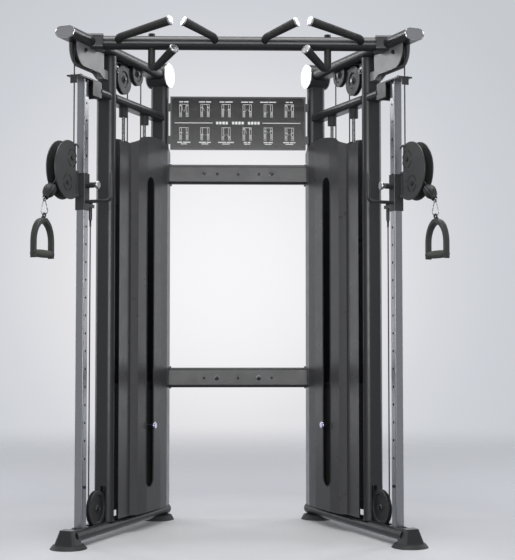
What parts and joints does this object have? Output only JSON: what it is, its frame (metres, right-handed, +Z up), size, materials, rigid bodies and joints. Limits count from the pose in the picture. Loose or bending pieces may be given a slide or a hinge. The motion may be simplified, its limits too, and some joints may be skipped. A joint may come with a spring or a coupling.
{
  "type": "cable crossover machine",
  "caption": "Gym machine with two weight-stack towers turned inwards, each with a carriage that slides on a drilled rail and a swivelling cable handle, joined by a pull-up bar",
  "frame": {"origin": "middle of the footprint's box, on the floor", "axes": "+Z up, +Y from the user towards the back of the machine, +X to the right when facing it from the front"},
  "size_m": [1.6764, 1.1572, 2.2457],
  "materials": {
    "frame_paint": "satin",
    "cap_silver": "satin",
    "rail_steel": "brushed",
    "zinc_steel": "satin",
    "cover_paint": "satin",
    "rubber": "matte",
    "chrome": "polished",
    "board_gloss": "gloss",
    "weights_iron": "satin",
    "cable_coat": "satin",
    "carriage_paint": "satin",
    "knob_silver": "satin",
    "selector_silver": "satin",
    "pulley_nylon": "satin",
    "ball_rubber": "matte",
    "handle_black": "satin"
  },
  "bodies": {
    "root": {"base_tubes": "frame_paint", "foot_pads": "rubber", "uprights": "frame_paint", "top_tubes": "frame_paint", "end_caps": "cap_silver", "mid_rails": "frame_paint", "pulley_plates": "frame_paint", "pulley_axles": "zinc_steel", "carriage_rails": "rail_steel", "rail_brackets": "frame_paint", "frame_bolts": "zinc_steel", "top_crossbar": "frame_paint", "pull_up_handles": "frame_paint", "pull_up_grips": "rubber", "grip_caps": "chrome", "crossbeams": "frame_paint", "sign_frame": "frame_paint", "sign_panel": "board_gloss", "inner_shrouds": "cover_paint", "outer_shrouds": "cover_paint", "guide_rods": "rail_steel", "rod_collars": "rubber", "lower_weight_plates": "weights_iron", "cable_left": "cable_coat", "cable_right": "cable_coat"},
    "carriage_left": {"carriage_sleeve_left": "carriage_paint"},
    "pull_pin_left": {"pull_pin_left": "knob_silver"},
    "swivel_left": {"swivel_housing_left": "carriage_paint"},
    "upper_swivel_pulley_left": {"swivel_pulley_upper_left": "pulley_nylon"},
    "lower_swivel_pulley_left": {"swivel_pulley_lower_left": "pulley_nylon"},
    "cable_end_left": {"cable_stop_ball_left": "ball_rubber", "snap_hook_left": "chrome"},
    "stirrup_left": {"stirrup_handle_left": "handle_black"},
    "stack_left": {"upper_weight_plates_left": "weights_iron", "stack_head_left": "weights_iron"},
    "selector_left": {"selector_pin_left": "selector_silver"},
    "stack_pulley_left": {"stack_pulley_left": "pulley_nylon"},
    "front_pulley_left": {"front_pulley_left": "pulley_nylon"},
    "mid_pulley_left": {"mid_pulley_left": "pulley_nylon"},
    "rear_pulley_left": {"rear_pulley_left": "pulley_nylon"},
    "upright_pulley_left": {"upright_pulley_left": "pulley_nylon"},
    "base_pulley_left": {"base_pulley_left": "pulley_nylon"},
    "carriage_right": {"carriage_sleeve_right": "carriage_paint"},
    "pull_pin_right": {"pull_pin_right": "knob_silver"},
    "swivel_right": {"swivel_housing_right": "carriage_paint"},
    "upper_swivel_pulley_right": {"swivel_pulley_upper_right": "pulley_nylon"},
    "lower_swivel_pulley_right": {"swivel_pulley_lower_right": "pulley_nylon"},
    "cable_end_right": {"cable_stop_ball_right": "ball_rubber", "snap_hook_right": "chrome"},
    "stirrup_right": {"stirrup_handle_right": "handle_black"},
    "stack_right": {"upper_weight_plates_right": "weights_iron", "stack_head_right": "weights_iron"},
    "selector_right": {"selector_pin_right": "selector_silver"},
    "stack_pulley_right": {"stack_pulley_right": "pulley_nylon"},
    "front_pulley_right": {"front_pulley_right": "pulley_nylon"},
    "mid_pulley_right": {"mid_pulley_right": "pulley_nylon"},
    "rear_pulley_right": {"rear_pulley_right": "pulley_nylon"},
    "upright_pulley_right": {"upright_pulley_right": "pulley_nylon"},
    "base_pulley_right": {"base_pulley_right": "pulley_nylon"}
  },
  "joints": [
    {"name": "carriage_slide_left", "type": "slide", "parent": "root", "child": "carriage_left", "axis": [0, 0, 1], "range_m": [-1.165, 0.279], "deforming": ["cable_left"]},
    {"name": "pull_pin_slide_left", "type": "slide", "parent": "carriage_left", "child": "pull_pin_left", "axis": [0.9291, -0.3697, 0], "range_m": [0, 0.012], "stiffness_N_per_m": 900, "springref_m": -0.006},
    {"name": "swivel_turn_left", "type": "hinge", "parent": "carriage_left", "child": "swivel_left", "pos_m": [-0.70535, -0.28987, 1.526], "axis": [0, 0, 1], "range_deg": [-90, 90], "deforming": ["cable_left"]},
    {"name": "upper_swivel_pulley_spin_left", "type": "hinge", "parent": "swivel_left", "child": "upper_swivel_pulley_left", "pos_m": [-0.72439, -0.33772, 1.629], "axis": [0.9291, -0.3697, 0], "continuous": true},
    {"name": "lower_swivel_pulley_spin_left", "type": "hinge", "parent": "swivel_left", "child": "lower_swivel_pulley_left", "pos_m": [-0.73862, -0.3735, 1.522], "axis": [0.9291, -0.3697, 0], "continuous": true},
    {"name": "handle_pull_left", "type": "slide", "parent": "swivel_left", "child": "cable_end_left", "axis": [-0.2615, -0.657, -0.7071], "range_m": [0, 0.9], "deforming": ["cable_left"]},
    {"name": "stirrup_swing_left", "type": "hinge", "parent": "cable_end_left", "child": "stirrup_left", "pos_m": [-0.79523, -0.51574, 1.37359], "axis": [0.8771, -0.4802, 0], "range_deg": [-30, 30]},
    {"name": "stack_lift_left", "type": "slide", "parent": "root", "child": "stack_left", "axis": [0, 0, 1], "range_m": [0, 0.45], "deforming": ["cable_left"]},
    {"name": "selector_pin_slide_left", "type": "slide", "parent": "stack_left", "child": "selector_left", "axis": [0.9291, -0.3697, 0], "range_m": [0, 0.12]},
    {"name": "stack_pulley_spin_left", "type": "hinge", "parent": "stack_left", "child": "stack_pulley_left", "pos_m": [-0.48957, 0.23612, 0.79], "axis": [0.8866, -0.4626, 0], "continuous": true},
    {"name": "front_pulley_spin_left", "type": "hinge", "parent": "root", "child": "front_pulley_left", "pos_m": [-0.68686, -0.24342, 2.108], "axis": [0.9291, -0.3697, 0], "continuous": true},
    {"name": "mid_pulley_spin_left", "type": "hinge", "parent": "root", "child": "mid_pulley_left", "pos_m": [-0.53453, 0.13939, 2.064], "axis": [0.9291, -0.3697, 0], "continuous": true},
    {"name": "rear_pulley_spin_left", "type": "hinge", "parent": "root", "child": "rear_pulley_left", "pos_m": [-0.48012, 0.24366, 2.112], "axis": [0.9291, -0.3697, 0], "continuous": true},
    {"name": "upright_pulley_spin_left", "type": "hinge", "parent": "root", "child": "upright_pulley_left", "pos_m": [-0.5805, -0.0086, 2.075], "axis": [0.9291, -0.3697, 0], "continuous": true},
    {"name": "base_pulley_spin_left", "type": "hinge", "parent": "root", "child": "base_pulley_left", "pos_m": [-0.61997, -0.10779, 0.135], "axis": [0.9291, -0.3697, 0], "continuous": true},
    {"name": "carriage_slide_right", "type": "slide", "parent": "root", "child": "carriage_right", "axis": [0, 0, 1], "range_m": [-1.165, 0.279], "deforming": ["cable_right"]},
    {"name": "pull_pin_slide_right", "type": "slide", "parent": "carriage_right", "child": "pull_pin_right", "axis": [-0.9291, -0.3697, 0], "range_m": [0, 0.012], "stiffness_N_per_m": 900, "springref_m": -0.006},
    {"name": "swivel_turn_right", "type": "hinge", "parent": "carriage_right", "child": "swivel_right", "pos_m": [0.70535, -0.28987, 1.526], "axis": [0, 0, 1], "range_deg": [-90, 90], "deforming": ["cable_right"]},
    {"name": "upper_swivel_pulley_spin_right", "type": "hinge", "parent": "swivel_right", "child": "upper_swivel_pulley_right", "pos_m": [0.72439, -0.33772, 1.629], "axis": [-0.9291, -0.3697, 0], "continuous": true},
    {"name": "lower_swivel_pulley_spin_right", "type": "hinge", "parent": "swivel_right", "child": "lower_swivel_pulley_right", "pos_m": [0.73862, -0.3735, 1.522], "axis": [-0.9291, -0.3697, 0], "continuous": true},
    {"name": "handle_pull_right", "type": "slide", "parent": "swivel_right", "child": "cable_end_right", "axis": [0.2615, -0.657, -0.7071], "range_m": [0, 0.9], "deforming": ["cable_right"]},
    {"name": "stirrup_swing_right", "type": "hinge", "parent": "cable_end_right", "child": "stirrup_right", "pos_m": [0.79523, -0.51574, 1.37359], "axis": [-0.8771, -0.4802, 0], "range_deg": [-30, 30]},
    {"name": "stack_lift_right", "type": "slide", "parent": "root", "child": "stack_right", "axis": [0, 0, 1], "range_m": [0, 0.45], "deforming": ["cable_right"]},
    {"name": "selector_pin_slide_right", "type": "slide", "parent": "stack_right", "child": "selector_right", "axis": [-0.9291, -0.3697, 0], "range_m": [0, 0.12]},
    {"name": "stack_pulley_spin_right", "type": "hinge", "parent": "stack_right", "child": "stack_pulley_right", "pos_m": [0.48957, 0.23612, 0.79], "axis": [-0.8866, -0.4626, 0], "continuous": true},
    {"name": "front_pulley_spin_right", "type": "hinge", "parent": "root", "child": "front_pulley_right", "pos_m": [0.68686, -0.24342, 2.108], "axis": [-0.9291, -0.3697, 0], "continuous": true},
    {"name": "mid_pulley_spin_right", "type": "hinge", "parent": "root", "child": "mid_pulley_right", "pos_m": [0.53453, 0.13939, 2.064], "axis": [-0.9291, -0.3697, 0], "continuous": true},
    {"name": "rear_pulley_spin_right", "type": "hinge", "parent": "root", "child": "rear_pulley_right", "pos_m": [0.48012, 0.24366, 2.112], "axis": [-0.9291, -0.3697, 0], "continuous": true},
    {"name": "upright_pulley_spin_right", "type": "hinge", "parent": "root", "child": "upright_pulley_right", "pos_m": [0.5805, -0.0086, 2.075], "axis": [-0.9291, -0.3697, 0], "continuous": true},
    {"name": "base_pulley_spin_right", "type": "hinge", "parent": "root", "child": "base_pulley_right", "pos_m": [0.61997, -0.10779, 0.135], "axis": [-0.9291, -0.3697, 0], "continuous": true}
  ],
  "couplings": [
    {"joint": "handle_pull_left", "follows": "stack_lift_left", "ratio": 2},
    {"joint": "mid_pulley_spin_left", "follows": "stack_lift_left", "rad_per_m": 41.667},
    {"joint": "front_pulley_spin_left", "follows": "stack_lift_left", "rad_per_m": 40},
    {"joint": "upper_swivel_pulley_spin_left", "follows": "stack_lift_left", "rad_per_m": -38.835},
    {"joint": "lower_swivel_pulley_spin_left", "follows": "stack_lift_left", "rad_per_m": 42.105},
    {"joint": "stack_pulley_spin_left", "follows": "stack_lift_left", "rad_per_m": -17.005},
    {"joint": "base_pulley_spin_left", "follows": "carriage_slide_left", "rad_per_m": -14.035},
    {"joint": "upright_pulley_spin_left", "follows": "carriage_slide_left", "rad_per_m": 28.169},
    {"joint": "rear_pulley_spin_left", "follows": "carriage_slide_left", "rad_per_m": 20.833},
    {"joint": "handle_pull_right", "follows": "stack_lift_right", "ratio": 2},
    {"joint": "mid_pulley_spin_right", "follows": "stack_lift_right", "rad_per_m": -41.667},
    {"joint": "front_pulley_spin_right", "follows": "stack_lift_right", "rad_per_m": -40},
    {"joint": "upper_swivel_pulley_spin_right", "follows": "stack_lift_right", "rad_per_m": 38.835},
    {"joint": "lower_swivel_pulley_spin_right", "follows": "stack_lift_right", "rad_per_m": -42.105},
    {"joint": "stack_pulley_spin_right", "follows": "stack_lift_right", "rad_per_m": 17.005},
    {"joint": "base_pulley_spin_right", "follows": "carriage_slide_right", "rad_per_m": 14.035},
    {"joint": "upright_pulley_spin_right", "follows": "carriage_slide_right", "rad_per_m": -28.169},
    {"joint": "rear_pulley_spin_right", "follows": "carriage_slide_right", "rad_per_m": -20.833}
  ]
}
